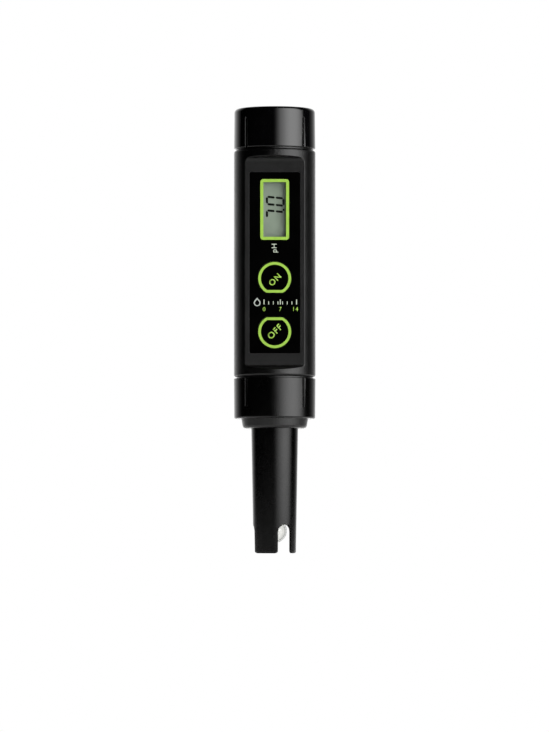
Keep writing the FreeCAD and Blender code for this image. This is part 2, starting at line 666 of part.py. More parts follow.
def electrode_seal():
    return o_ring(WALL_BORE_R - SEAL_GAP - SEAL_WIRE_R, PLUG_SEAL_Z)


def guard_slot(angle_deg):
    """Cutter for one slot of the guard: round top, and a mouth that rounds the legs' corners."""
    half, top, flare = SLOT_HALF_W, SLOT_TOP_Z - SLOT_HALF_W, 0.9
    diagonal = flare * math.sqrt(0.5)

    def arc(a, b, c):
        return Part.Arc(V(a[0], 0, a[1]), V(b[0], 0, b[1]), V(c[0], 0, c[1])).toShape()

    def line(a, b):
        return Part.makeLine(V(a[0], 0, a[1]), V(b[0], 0, b[1]))

    wide = half + flare
    edges = [
        line((-wide, -1), (-wide, 0)),
        arc((-wide, 0), (-wide + diagonal, flare - diagonal), (-half, flare)),
        line((-half, flare), (-half, top)),
        arc((-half, top), (0, SLOT_TOP_Z), (half, top)),
        line((half, top), (half, flare)),
        arc((half, flare), (wide - diagonal, flare - diagonal), (wide, 0)),
        line((wide, 0), (wide, -1)),
        line((wide, -1), (-wide, -1))]
    cutter = Part.Face(Part.Wire(edges)).extrude(V(0, -10, 0))
    cutter.translate(V(0, -3, 0))
    cutter.rotate(V(0, 0, 0), V(0, 0, 1), angle_deg)
    return cutter


def electrode_tube():
    """Tapered tube with a bulkhead for the glass stem and three guard legs round the bulb."""
    tube = revolve([
        (GUARD_BORE_R, 0, 0.3), (TUBE_TIP_R, 0, 0.6), (TUBE_TOP_R, COLLAR_Z), (TUBE_TOP_R, TUBE_END_Z, 0.3),
        (TUBE_BORE_R, TUBE_END_Z), (TUBE_BORE_R, BULKHEAD_Z[1]), (5.02, BULKHEAD_Z[1]),
        (5.02, BULKHEAD_Z[0]), (GUARD_BORE_R, BULKHEAD_Z[0])])
    slots = [guard_slot(FIRST_SLOT_DEG + i * 360 / SLOT_COUNT) for i in range(SLOT_COUNT)]
    junction_hole = cylinder(JUNCTION_R + 0.02, BULKHEAD_Z[0] - 1, BULKHEAD_Z[1] + 1, JUNCTION_X, 0)
    return tube.cut(fuse_all(slots)).cut(junction_hole)


def glass_bulb():
    """pH-sensitive glass bulb blown on the end of its stem; hollow."""
    def sphere_arc(radius, join_r):
        join_z = BULB_Z + math.sqrt(radius ** 2 - join_r ** 2)
        diagonal = radius * math.sqrt(0.5)
        points = [V(0, 0, BULB_Z - radius), V(diagonal, 0, BULB_Z - diagonal), V(join_r, 0, join_z)]
        return points

    outer = sphere_arc(BULB_R, STEM_R)
    inner = sphere_arc(BULB_R - GLASS_WALL, STEM_R - GLASS_WALL)
    top_outer = V(STEM_R, 0, STEM_TOP_Z)
    top_inner = V(STEM_R - GLASS_WALL, 0, STEM_TOP_Z)
    edges = [
        Part.Arc(*outer).toShape(), Part.makeLine(outer[2], top_outer), Part.makeLine(top_outer, top_inner),
        Part.makeLine(top_inner, inner[2]), Part.Arc(*inner).toShape(), Part.makeLine(inner[0], outer[0])]
    return Part.Face(Part.Wire(edges)).revolve(V(0, 0, 0), V(0, 0, 1), 360)


def inner_wire():
    """Silver wire down the glass stem, with a chloride-coated tip inside the bulb."""
    return cylinder(0.25, 8.0, 59.9).fuse(cylinder(0.6, 7.0, 11.0))


def reference_wire():
    """Silver wire in the reference chamber round the glass stem."""
    return cylinder(0.25, 20.0, 59.9, 0, REFERENCE_Y).fuse(cylinder(0.6, 17.0, 24.0, 0, REFERENCE_Y))


def reference_junction():
    """Porous ceramic pin through the bulkhead, beside the glass stem."""
    return cylinder(JUNCTION_R, BULKHEAD_Z[0] - 0.3, BULKHEAD_Z[1] + 0.4, JUNCTION_X, 0)


def stem_seal():
    """Silicone ring that seals the glass stem in the bulkhead."""
    return revolve([(STEM_R + 0.02, BULKHEAD_Z[0] + 0.2), (5.0, BULKHEAD_Z[0] + 0.2),
                    (5.0, BULKHEAD_Z[1] - 0.2), (STEM_R + 0.02, BULKHEAD_Z[1] - 0.2)])


def tube_plug():
    """Plug that closes the top of the electrode tube and centres the glass stem."""
    plug = cylinder(TUBE_BORE_R - 0.05, 49.0, 54.6)
    cutters = [cylinder(STEM_R + 0.05, 48, STEM_TOP_Z + 0.1), cylinder(0.32, 50, 56),
               cylinder(0.32, 48, 56, 0, REFERENCE_Y)]
    return plug.cut(fuse_all(cutters))


def connector_block():
    """Moulded header on top of the electrode that carries the three pins."""
    base = cylinder(9.5, 60.05, 62.4)
    header = block((-5.2, 5.2), (PIN_Y - 1.9, PIN_Y + 1.9), (62.0, 65.3))
    holes = [cylinder(PIN_R + 0.02, 59, 67, x, PIN_Y) for x in PIN_X]
    return base.fuse(header).cut(fuse_all(holes))


def connector_pins():
    pins = []
    for x in PIN_X:
        pin = cylinder(PIN_R, 58.6, 70.6, x, PIN_Y)
        tip = [e for e in pin.Edges if e.BoundBox.ZMin > 70.5]
        pins.append(pin.makeFillet(0.25, tip))
    return Part.makeCompound(pins)


def retaining_ring():
    """Screw ring that holds the electrode in the barrel; four grip grooves."""
    shell = revolve([
        (12.5, RING_Z[0], 0.2), (BARREL_R - 0.12, RING_Z[0], 0.6), (BARREL_R, RING_Z[1], 0.3),
        (MOUTH_R, RING_Z[1], 0.15), (MOUTH_R, 62.3), (FEMALE_ROOT_R, 61.9),
        (FEMALE_ROOT_R, 52.2), (12.5, 52.2)])
    shell = shell.cut(grip_grooves(BARREL_R - 0.05, RING_Z[1] + 1, RING_GROOVE_BOTTOM_Z))
    return shell.fuse(thread_ridge(FEMALE_ROOT_R, FEMALE_CREST_R, THREAD_Z[0] - PITCH / 2))


# ------------------------------------------------------------------ export
PIECES = {
    "barrel": barrel,
    "front_overlay": front_overlay,
    "display_window": display_window,
    "on_key": lambda: key("on"),
    "off_key": lambda: key("off"),
    "on_switch_stem": lambda: switch_stem("on"),
    "off_switch_stem": lambda: switch_stem("off"),
    "on_switch_dome": lambda: switch_dome("on"),
    "off_switch_dome": lambda: switch_dome("off"),
    "switch_housings": switch_housings,
    "lcd_glass": lcd_glass,
    "lcd_reflector": lcd_reflector,
    "lcd_frame": lcd_frame,
    "zebra_strips": zebra_strips,
    "main_board": main_board,
    "measuring_chip": measuring_chip,
    "controller_chip": controller_chip,
    "surface_parts": surface_parts,
    "storage_capacitor": storage_capacitor,
    "trimmer_housing": trimmer_housing,
    "trimmer_rotor": trimmer_rotor,
    "battery_holder": battery_holder,
    "button_cells": button_cells,
    "battery_base_contact": battery_base_contact,
    "return_contact": return_contact,
    "deck_screws": deck_screws,
    "battery_cap": battery_cap,
    "cap_contact_disc": cap_contact_disc,
    "cap_contact_spring": cap_contact_spring,
    "neck_seal": neck_seal,
    "electrode_socket": electrode_socket,
    "socket_contacts": socket_contacts,
    "socket_screws": socket_screws,
    "signal_leads": signal_leads,
    "electrode_collar": electrode_collar,
    "electrode_seal": electrode_seal,
    "electrode_tube": electrode_tube,
    "glass_bulb": glass_bulb,
    "inner_wire": inner_wire,
    "reference_wire": reference_wire,
    "reference_junction": reference_junction,
    "stem_seal": stem_seal,
    "tube_plug": tube_plug,
    "connector_block": connector_block,
    "connector_pins": connector_pins,
    "retaining_ring": retaining_ring,
}


def main():
    os.makedirs("parts", exist_ok=True)
    for name, make in PIECES.items():
        shape = make()
        print(name, "valid", shape.isValid(), "solids", len(shape.Solids), "volume", round(shape.Volume, 2))
        shape.exportStep(os.path.join("parts", name + ".step"))


main()
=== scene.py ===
import math

import bmesh
import bpy
from mathutils import Matrix, Vector


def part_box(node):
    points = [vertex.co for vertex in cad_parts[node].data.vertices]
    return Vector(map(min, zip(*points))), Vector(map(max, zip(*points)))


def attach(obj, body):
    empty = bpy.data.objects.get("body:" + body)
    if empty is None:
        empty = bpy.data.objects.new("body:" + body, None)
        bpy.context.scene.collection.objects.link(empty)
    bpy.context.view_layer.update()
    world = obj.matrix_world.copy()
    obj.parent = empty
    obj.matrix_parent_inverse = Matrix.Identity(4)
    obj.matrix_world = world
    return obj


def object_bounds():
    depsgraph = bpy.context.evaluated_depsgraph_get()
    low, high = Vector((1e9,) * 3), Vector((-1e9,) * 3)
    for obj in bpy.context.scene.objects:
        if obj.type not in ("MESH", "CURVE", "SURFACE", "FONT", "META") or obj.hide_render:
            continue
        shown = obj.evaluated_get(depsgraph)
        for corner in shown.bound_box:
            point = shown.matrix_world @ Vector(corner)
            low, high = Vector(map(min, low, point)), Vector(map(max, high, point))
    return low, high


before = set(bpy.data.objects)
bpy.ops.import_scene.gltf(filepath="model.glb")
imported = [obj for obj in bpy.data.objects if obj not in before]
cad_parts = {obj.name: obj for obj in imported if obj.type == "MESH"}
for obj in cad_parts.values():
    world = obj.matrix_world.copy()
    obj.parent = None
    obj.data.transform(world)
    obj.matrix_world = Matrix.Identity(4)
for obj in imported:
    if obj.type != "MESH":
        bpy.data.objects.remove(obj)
CAD_LOW, CAD_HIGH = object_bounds()

MM = 0.001
INK_T = 0.03 * MM          # printed ink, as modelled
INK_SUNK = 0.01 * MM       # how much of it lies in the film

# Camera: a long lens a little below the pen's middle, looking slightly upwards.
CAMERA_DISTANCE = 2.2
CAMERA_ELEVATION_DEG = -2.4
CAMERA_LENS_MM = 294.6
AIM_UNDER_MIDDLE = 12.925 * MM
AIM_ASIDE = -0.07 * MM

# The studio around the pen: a white backdrop behind it and a softbox at the front right. Azimuth 0 is the
# side that the camera stands on, positive to its right. Each pair is (angle in degrees, light level).
BACKDROP_AROUND = ((-180, 1.1), (-152, 1.1), (-140, 0.84), (-132, 0.56), (-124, 0.28), (-113, 0.0),
                   (116, 0.0), (130, 0.25), (146, 0.6), (157, 0.9), (180, 1.1))
BACKDROP_UP = ((-90, 1.0), (24, 1.0), (40, 0.0), (90, 0.0))
SOFTBOX_AROUND = ((-180, 0.0), (-4, 0.0), (1, 0.1), (5, 0.45), (11, 1.25), (16, 2.2), (25, 3.2), (36, 4.6),
                  (46, 5.3), (60, 5.1), (69, 4.4), (76, 3.4), (82, 2.2), (90, 0.0), (180, 0.0))
SOFTBOX_UP = ((-90, 0.0), (-45, 0.0), (-16, 1.0), (40, 1.0), (68, 0.0), (90, 0.0))
STUDIO_PEAK = 6.0
OVERHEAD_PLACE = (0.1, -0.2, 1.2)
OVERHEAD_SIDE = 1.2
OVERHEAD_POWER = 9.0
FLOOR_RADIUS = 0.45
FLOOR_FADE = (0.12, 0.4)   # the floor is whole up to the first radius and gone at the second

LIME = (0.247, 0.432, 0.0435)
PALE_INK = (0.42, 0.47, 0.38)
ICON_INK = (0.33, 0.36, 0.33)


# ---------------------------------------------------------------- node helpers

class Graph:
    """A material's or world's node tree, with one short call for each node and link."""

    def __init__(self, tree):
        self.tree = tree
        tree.nodes.clear()

    def node(self, kind, inputs=None, **settings):
        made = self.tree.nodes.new("ShaderNode" + kind)
        for name, value in settings.items():
            setattr(made, name, value)
        for name, value in (inputs or {}).items():
            self.put(made.inputs[name], value)
        return made

    def put(self, socket, value):
        if isinstance(value, bpy.types.NodeSocket):
            self.tree.links.new(value, socket)
        elif isinstance(value, bpy.types.Node):
            self.tree.links.new(value.outputs[0], socket)
        elif socket.type == "RGBA" and len(value) == 3:
            socket.default_value = (*value, 1.0)
        else:
            socket.default_value = value

    def math(self, operation, a, b=0.0, c=0.0):
        return self.node("Math", {0: a, 1: b, 2: c}, operation=operation).outputs[0]

    def span(self, value, from_low, from_high, to_low=0.0, to_high=1.0, smooth=False):
        made = self.node("MapRange", {0: value, 1: from_low, 2: from_high, 3: to_low, 4: to_high},
                         interpolation_type="SMOOTHSTEP" if smooth else "LINEAR", clamp=True)
        return made.outputs[0]

    def mix(self, factor, a, b):
        made = self.node("Mix", data_type="RGBA", clamp_factor=True)
        self.put(made.inputs[0], factor)
        self.put(made.inputs[6], a)
        self.put(made.inputs[7], b)
        return made.outputs[2]

    def coords(self, stretch=(1, 1, 1)):
        where = self.node("TexCoord").outputs["Object"]
        if stretch == (1, 1, 1):
            return where
        return self.node("Mapping", {"Vector": where, "Scale": stretch}).outputs[0]

    def noise(self, size, detail=2.0, rough=0.5, stretch=(1, 1, 1)):
        """Noise whose blobs are about size metres across."""
        made = self.node("TexNoise", {"Vector": self.coords(stretch), "Scale": 1 / size, "Detail": detail,
                                      "Roughness": rough})
        return made.outputs["Fac"]

    def profile(self, value, low, high, stops, peak):
        """A piecewise linear curve of value, through the (value, level) stops."""
        place = self.span(value, low, high)
        ramp = self.node("ValToRGB", {"Fac": place})
        elements = ramp.color_ramp.elements
        while len(elements) < len(stops):
            elements.new(0.5)
        for element, (at, level) in zip(elements, stops):
            element.position = (at - low) / (high - low)
            element.color = (level / peak,) * 3 + (1.0,)
        return self.math("MULTIPLY", ramp.outputs[0], peak)


def new_material(name):
    made = bpy.data.materials.new(name)
    made.use_nodes = True
    return made, Graph(made.node_tree)


def edge_wear(g, radius):
    """1 on sharp outside edges and 0 elsewhere, and the softened normal. Where it is 1 the colour is
    lightened, partly as wear and partly as a painted edge highlight.
    """
    soft = g.node("Bevel", {"Radius": radius}, samples=4)
    facing = g.node("VectorMath", {0: soft.outputs[0], 1: g.node("NewGeometry").outputs["Normal"]},
                    operation="DOT_PRODUCT").outputs["Value"]
    return g.span(facing, 0.99, 0.85), soft.outputs[0]


def shade(g, **inputs):
    """The surface shader, linked to the output."""
    names = {"colour": "Base Color", "roughness": "Roughness", "metal": "Metallic", "normal": "Normal",
             "specular": "Specular IOR Level", "coat": "Coat Weight", "sheen": "Sheen Weight"}
    shader = g.node("BsdfPrincipled", {names[key]: value for key, value in inputs.items()})
    g.node("OutputMaterial", {"Surface": shader.outputs[0]})


def plastic(g, colour, roughness, normal, ior):
    """A coloured body under a plastic skin whose highlight ends cleanly, without a haze around it."""
    body = g.node("BsdfDiffuse", {"Color": colour, "Normal": normal})
    skin = g.node("BsdfGlossy", {"Color": (1, 1, 1), "Roughness": roughness, "Normal": normal},
                  distribution="BECKMANN")
    fresnel = g.node("Fresnel", {"IOR": ior, "Normal": normal})
    mixed = g.node("MixShader", {0: fresnel, 1: body.outputs[0], 2: skin.outputs[0]})
    g.node("OutputMaterial", {"Surface": mixed.outputs[0]})


def tinted(colour, factor):
    """A lighter or darker version of a colour."""
    return tuple(min(1.0, c * factor) for c in colour)


# ---------------------------------------------------------------- materials

def moulded(name, colour, roughness, grain=0.3 * MM, depth=0.012 * MM, speckle=0.25, worn_and_highlit=1.6,
            smudge=0.06, ior=1.5):
    """Moulded plastic: a fine spark-eroded grain, cloudy colour and gloss, and slightly rubbed edges whose
    lighter colour is partly a painted edge highlight.
    """
    made, g = new_material(name)
    fine = g.noise(grain, 3.0, 0.6)
    cloud = g.noise(9 * MM, 3.0, 0.55)
    wear_and_highlight, soft = edge_wear(g, 0.16 * MM)
    shaded = g.mix(g.span(fine, 0.3, 0.7), tinted(colour, 1 - speckle), tinted(colour, 1 + speckle))
    shaded = g.mix(g.span(cloud, 0.35, 0.7, 0.0, 0.35), shaded, tinted(colour, 1.35))
    scuffs_and_highlight = g.math("MULTIPLY", wear_and_highlight, g.span(g.noise(1.6 * MM, 3.0), 0.42, 0.62))
    # Lighter colour on the scuffed edges: partly rubbed wear, partly a painted edge highlight.
    shaded = g.mix(g.math("MULTIPLY", scuffs_and_highlight, 0.6), shaded, tinted(colour, worn_and_highlit))
    gloss = g.math("ADD", g.span(cloud, 0.3, 0.7, roughness - smudge / 2, roughness + smudge / 2),
                   g.math("MULTIPLY", scuffs_and_highlight, -0.3 * roughness))
    bump = g.node("Bump", {"Strength": 1.0, "Distance": depth, "Height": fine, "Normal": soft})
    plastic(g, shaded, gloss, bump, ior)
    return made


def glossy_cap_plastic(name, colour, roughness):
    """Polished moulded plastic: faint flow ripple, hairline scratches and smears, and a matt grained top."""
    made, g = new_material(name)
    outward = g.node("SeparateXYZ", {0: g.node("NewGeometry").outputs["True Normal"]})
    top = g.span(outward.outputs["Z"], 0.93, 0.98)
    grain = g.noise(0.4 * MM, 3.0, 0.6)
    smears = g.noise(5 * MM, 4.0, 0.6)
    hairs = g.noise(0.5 * MM, 2.0, 0.5, stretch=(1, 1, 0.02))
    wear_and_highlight, soft = edge_wear(g, 0.12 * MM)
    shaded = g.mix(g.span(smears, 0.35, 0.75), colour, tinted(colour, 1.8))
    # Lighter colour along the edges: partly rubbed wear, partly a painted edge highlight.
    shaded = g.mix(g.math("MULTIPLY", wear_and_highlight, 0.5), shaded, tinted(colour, 3.0))
    gloss = g.math("ADD", g.span(smears, 0.3, 0.75, roughness, roughness + 0.05),
                   g.span(hairs, 0.62, 0.72, 0.0, 0.06))
    ripple = g.node("Bump", {"Strength": 0.6, "Distance": 0.004 * MM, "Height": g.noise(1.1 * MM, 2.0),
                             "Normal": soft})
    eroded = g.node("Bump", {"Strength": g.math("MULTIPLY", top, 0.8), "Distance": 0.03 * MM, "Height": grain,
                             "Normal": ripple})
    matt = g.mix(g.span(grain, 0.3, 0.7), (0.009, 0.009, 0.009), (0.016, 0.016, 0.016))
    plastic(g, g.mix(top, shaded, matt), g.span(top, 0, 1, gloss, 0.5), eroded, g.span(top, 0, 1, 1.5, 1.03))
    return made


def printed_film(name, colour, roughness):
    """Polyester film with a fine matt texture and an even black print under it."""
    made, g = new_material(name)
    fine = g.noise(0.12 * MM, 2.0)
    cloud = g.noise(6 * MM, 3.0)
    shaded = g.mix(g.span(cloud, 0.3, 0.7), tinted(colour, 0.7), tinted(colour, 1.5))
    bump = g.node("Bump", {"Strength": 0.5, "Distance": 0.002 * MM, "Height": fine})
    plastic(g, shaded, g.span(cloud, 0.3, 0.7, roughness, roughness + 0.05), bump, 1.12)
    return made


def ink(name, colour):
    """Screen-printed ink: the mesh's weave in the thickness, and slightly uneven cover."""
    made, g = new_material(name)
    weave = g.math("MULTIPLY", g.noise(0.16 * MM, 1.0, stretch=(1, 1, 0.15)), 0.5)
    weave = g.math("ADD", weave, g.math("MULTIPLY", g.noise(0.16 * MM, 1.0, stretch=(0.15, 1, 1)), 0.5))
    cover = g.noise(1.5 * MM, 3.0)
    shaded = g.mix(g.span(cover, 0.35, 0.7), tinted(colour, 0.92), tinted(colour, 1.06))
    bump = g.node("Bump", {"Strength": 0.6, "Distance": 0.003 * MM, "Height": weave})
    shade(g, colour=shaded, roughness=g.span(weave, 0.3, 0.7, 0.38, 0.5), normal=bump)
    return made


def clear_sheet(name, tint, roughness):
    """Thin clear sheet: light goes straight through, with a reflection that grows at grazing angles."""
    made, g = new_material(name)
    smears = g.noise(4 * MM, 3.0)
    through = g.node("BsdfTransparent", {"Color": tint})
    shine = g.node("BsdfGlossy", {"Color": (1, 1, 1),
                                  "Roughness": g.span(smears, 0.3, 0.7, roughness, roughness + 0.05)})
    outside = g.math("SUBTRACT", 1.0, g.node("NewGeometry").outputs["Backfacing"])
    reflected = g.math("MULTIPLY", g.node("Fresnel", {"IOR": 1.5}).outputs[0], outside)
    mixed = g.node("MixShader", {0: reflected, 1: through.outputs[0], 2: shine.outputs[0]})
    g.node("OutputMaterial", {"Surface": mixed.outputs[0]})
    return made


def display_glass(name, colour):
    """The liquid-crystal cell over its grey-green reflector: a soft sheen, cloudy cells and tiny spacers."""
    made, g = new_material(name)
    cloud = g.noise(7 * MM, 3.0)
    spacers = g.noise(0.09 * MM, 1.0)
    shaded = g.mix(g.span(cloud, 0.3, 0.7), tinted(colour, 0.93), tinted(colour, 1.06))
    shaded = g.mix(g.span(spacers, 0.45, 0.75, 0.0, 0.25), shaded, tinted(colour, 0.8))
    shade(g, colour=shaded, roughness=g.span(cloud, 0.3, 0.7, 0.28, 0.36), specular=0.5)
    return made


def metal(name, colour, roughness, stretch=(1, 1, 0.05), line=0.08 * MM):
    """Plated or drawn metal: fine lines along the working direction, faint tarnish, brighter edges, partly
    rubbed and partly a painted edge highlight.
    """
    made, g = new_material(name)
    lines = g.noise(line, 2.0, 0.6, stretch=stretch)
    tarnish = g.noise(3 * MM, 4.0, 0.6)
    wear_and_highlight, soft = edge_wear(g, 0.06 * MM)
    shaded = g.mix(g.span(tarnish, 0.45, 0.75, 0.0, 0.5), colour, tinted(colour, 0.7))
    # Brighter colour along the edges: partly rubbed wear, partly a painted edge highlight.
    shaded = g.mix(g.math("MULTIPLY", wear_and_highlight, 0.5), shaded, tinted(colour, 1.2))
    gloss = g.math("ADD", g.span(lines, 0.3, 0.7, roughness * 0.8, roughness * 1.2),
                   g.span(tarnish, 0.45, 0.75, 0.0, 0.12))
    bump = g.node("Bump", {"Strength": 0.5, "Distance": 0.002 * MM, "Height": lines, "Normal": soft})
    shade(g, colour=shaded, roughness=gloss, metal=1.0, normal=bump)
    return made


def rubber(name, colour, roughness=0.6):
    """Moulded rubber: a dull bloom over a fine skin."""
    made, g = new_material(name)
    bloom = g.noise(1.2 * MM, 4.0, 0.65)
    skin = g.noise(0.12 * MM, 2.0)
    shaded = g.mix(g.span(bloom, 0.4, 0.75, 0.0, 0.5), colour, tuple(c * 0.6 + 0.05 for c in colour))
    bump = g.node("Bump", {"Strength": 0.6, "Distance": 0.006 * MM, "Height": skin})
    shade(g, colour=shaded, roughness=g.span(bloom, 0.3, 0.7, roughness - 0.08, roughness + 0.1), normal=bump,
          sheen=0.15)
    return made


def laminate(name, colour):
    """Circuit board: glass weave showing through solder mask, with slight pooling of the mask."""
    made, g = new_material(name)
    across = g.node("TexWave", {"Vector": g.coords(), "Scale": 300.0, "Distortion": 0.4}, bands_direction="X")
    along = g.node("TexWave", {"Vector": g.coords(), "Scale": 300.0, "Distortion": 0.4}, bands_direction="Z")
    weave = g.math("MULTIPLY", across.outputs["Fac"], along.outputs["Fac"])
    pool = g.noise(4 * MM, 3.0)
    shaded = g.mix(g.span(weave, 0.1, 0.8), tinted(colour, 0.8), tinted(colour, 1.15))
    shaded = g.mix(g.span(pool, 0.4, 0.7, 0.0, 0.4), shaded, tinted(colour, 0.65))
    bump = g.node("Bump", {"Strength": 0.5, "Distance": 0.008 * MM, "Height": weave})
    shade(g, colour=shaded, roughness=g.span(pool, 0.3, 0.7, 0.25, 0.38), normal=bump, coat=0.3)
    return made


def milky_glass(name, colour):
    """Thin blown glass: clear with a faint milky veil, and greyer where it is seen on edge."""
    made, g = new_material(name)
    streaks = g.noise(0.8 * MM, 3.0, 0.5, stretch=(1, 1, 0.25))
    on_edge = g.math("POWER", g.node("LayerWeight", {"Blend": 0.5}).outputs["Facing"], 4.0)
    tint = g.mix(on_edge, (0.985, 0.985, 0.975), (0.6, 0.61, 0.6))
    body = g.node("BsdfTranslucent", {"Color": colour})
    white = g.node("BsdfDiffuse", {"Color": colour})
    milk = g.node("MixShader", {0: 0.5, 1: body.outputs[0], 2: white.outputs[0]})
    veil = g.node("MixShader", {0: g.span(streaks, 0.4, 0.7, 0.03, 0.06),
                                1: g.node("BsdfTransparent", {"Color": tint}).outputs[0], 2: milk.outputs[0]})
    shine = g.node("BsdfGlossy", {"Roughness": g.span(streaks, 0.4, 0.7, 0.04, 0.09)})
    outside = g.math("SUBTRACT", 1.0, g.node("NewGeometry").outputs["Backfacing"])
    reflected = g.math("MULTIPLY", g.node("Fresnel", {"IOR": 1.5}).outputs[0], outside)
    mixed = g.node("MixShader", {0: reflected, 1: veil.outputs[0], 2: shine.outputs[0]})
    g.node("OutputMaterial", {"Surface": mixed.outputs[0]})
    return made


def ceramic(name, colour, roughness=0.75):
    """Fired ceramic: pores and a mottled body."""
    made, g = new_material(name)
    pores = g.noise(0.1 * MM, 3.0, 0.7)
    shaded = g.mix(g.span(pores, 0.35, 0.6), tinted(colour, 0.6), colour)
    bump = g.node("Bump", {"Strength": 0.8, "Distance": 0.01 * MM, "Height": pores})
    shade(g, colour=shaded, roughness=g.span(pores, 0.3, 0.7, roughness, roughness - 0.15), normal=bump)
    return made


MATERIALS = {
    "barrel_plastic": moulded("barrel_plastic", (0.0012, 0.0012, 0.0012), 0.38, 0.5 * MM, 0.07 * MM,
                              ior=1.4),
    "cap_plastic": glossy_cap_plastic("cap_plastic", (0.0008, 0.0008, 0.0009), 0.1),
    "ring_plastic": moulded("ring_plastic", (0.0006, 0.0006, 0.0006), 0.28, 0.45 * MM, 0.03 * MM,
                            smudge=0.05, ior=1.4),
    "collar_plastic": moulded("collar_plastic", (0.003, 0.003, 0.003), 0.4, 0.5 * MM, 0.06 * MM, ior=1.46),
    "tube_plastic": moulded("tube_plastic", (0.0008, 0.0008, 0.0008), 0.27, 0.45 * MM, 0.025 * MM,
                            smudge=0.05, ior=1.34),
    "overlay_film": printed_film("overlay_film", (0.0004, 0.0004, 0.0004), 0.1),
    "key_film": printed_film("key_film", (0.0004, 0.0004, 0.0004), 0.12),
    "window_clear": clear_sheet("window_clear", (0.97, 0.98, 0.97), 0.03),
    "lcd_glass": display_glass("lcd_glass", (0.222, 0.262, 0.212)),
    "lcd_film": display_glass("lcd_film", (0.33, 0.37, 0.31)),
    "frame_plastic": moulded("frame_plastic", (0.02, 0.02, 0.022), 0.5, 0.2 * MM, 0.01 * MM),
    "white_plastic": moulded("white_plastic", (0.7, 0.69, 0.65), 0.45, 0.2 * MM, 0.006 * MM, speckle=0.03,
                             worn_and_highlit=1.05),
    "board_laminate": laminate("board_laminate", (0.015, 0.12, 0.04)),
    "chip_epoxy": moulded("chip_epoxy", (0.012, 0.012, 0.014), 0.55, 0.08 * MM, 0.006 * MM),
    "chip_ceramic": ceramic("chip_ceramic", (0.5, 0.4, 0.28)),
    "can_aluminium": metal("can_aluminium", (0.78, 0.79, 0.81), 0.3, stretch=(1, 0.05, 1)),
    "trimmer_plastic": moulded("trimmer_plastic", (0.02, 0.09, 0.42), 0.4, 0.15 * MM, 0.006 * MM, worn_and_highlit=1.3),
    "trimmer_brass": metal("trimmer_brass", (0.72, 0.5, 0.18), 0.28),
    "cell_steel": metal("cell_steel", (0.74, 0.74, 0.72), 0.24, stretch=(1, 1, 0.08)),
    "spring_steel": metal("spring_steel", (0.72, 0.71, 0.68), 0.3, stretch=(0.05, 1, 1)),
    "screw_steel": metal("screw_steel", (0.6, 0.6, 0.62), 0.32),
    "contact_gold": metal("contact_gold", (0.85, 0.6, 0.2), 0.22),
    "seal_rubber": rubber("seal_rubber", (0.012, 0.012, 0.012)),
    "silicone_rubber": rubber("silicone_rubber", (0.6, 0.58, 0.53), 0.45),
    "zebra_rubber": rubber("zebra_rubber", (0.06, 0.06, 0.07)),
    "bulb_glass": milky_glass("bulb_glass", (0.86, 0.87, 0.83)),
    "silver_wire": metal("silver_wire", (0.78, 0.77, 0.75), 0.25, stretch=(1, 1, 0.03)),
    "porous_ceramic": ceramic("porous_ceramic", (0.82, 0.8, 0.75)),
    "lead_insulation": moulded("lead_insulation", (0.45, 0.02, 0.015), 0.4, 0.1 * MM, 0.004 * MM, worn_and_highlit=1.2),
}
LIME_INK = ink("lime_ink", LIME)
PALE_PRINT = ink("pale_ink", PALE_INK)
ICON_PRINT = ink("icon_ink", ICON_INK)


def segment_black():
    """A switched-on segment of the display: black, with hardly any reflection of its own."""
    made, g = new_material("segment_black")
    fine = g.noise(0.2 * MM, 2.0)
    bump = g.node("Bump", {"Strength": 0.3, "Distance": 0.002 * MM, "Height": fine})
    plastic(g, g.mix(fine, (0.0008, 0.0008, 0.0008), (0.002, 0.002, 0.002)), 0.3, bump, 1.1)
    return made


SEGMENT_BLACK = segment_black()


def finish_cad_nodes():
    """Each CAD node takes the material of its slot in the record."""
    for name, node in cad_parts.items():
        wanted = node.data.materials[0].name.split(".")[0]
        node.data.materials[0] = MATERIALS[wanted]


# ---------------------------------------------------------------- flat printed shapes

def circle_points(radius, start_deg, end_deg, count):
    """Points on an arc, as (across, up)."""
    return [(radius * math.cos(math.radians(start_deg + (end_deg - start_deg) * i / (count - 1))),
             radius * math.sin(math.radians(start_deg + (end_deg - start_deg) * i / (count - 1))))
            for i in range(count)]


def shifted(points, dx, dz):
    """The outline moved across and up."""
    return [(x + dx, z + dz) for x, z in points]


def print_plate(name, outlines, front, body, material):
    """A thin plate on a face that looks along -Y. Outlines are closed (x, z) loops; inner loops are holes."""
    bm = bmesh.new()
    edges = []
    for outline in outlines:
        corners = [bm.verts.new((x, front + INK_SUNK, z)) for x, z in outline]
        edges += [bm.edges.new((a, b)) for a, b in zip(corners, corners[1:] + corners[:1])]
    bmesh.ops.triangle_fill(bm, use_beauty=True, use_dissolve=False, edges=edges, normal=(0, -1, 0))
    thicken(bm)
    finished_mesh(name, bm, body, material)


def thicken(bm):
    """Turns flat faces into a closed plate as thick as the ink, grown towards -Y."""
    grown = bmesh.ops.extrude_face_region(bm, geom=bm.faces[:])
    moved = [item for item in grown["geom"] if isinstance(item, bmesh.types.BMVert)]
    bmesh.ops.translate(bm, verts=moved, vec=(0, -INK_T, 0))
    bmesh.ops.recalc_face_normals(bm, faces=bm.faces[:])


def finished_mesh(name, bm, body, material):
    """The mesh as an object that rides on its body."""
    mesh = bpy.data.meshes.new(name)
    bm.to_mesh(mesh)
    bm.free()
    mesh.materials.append(material)
    made = bpy.data.objects.new(name, mesh)
    bpy.context.scene.collection.objects.link(made)
    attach(made, body)


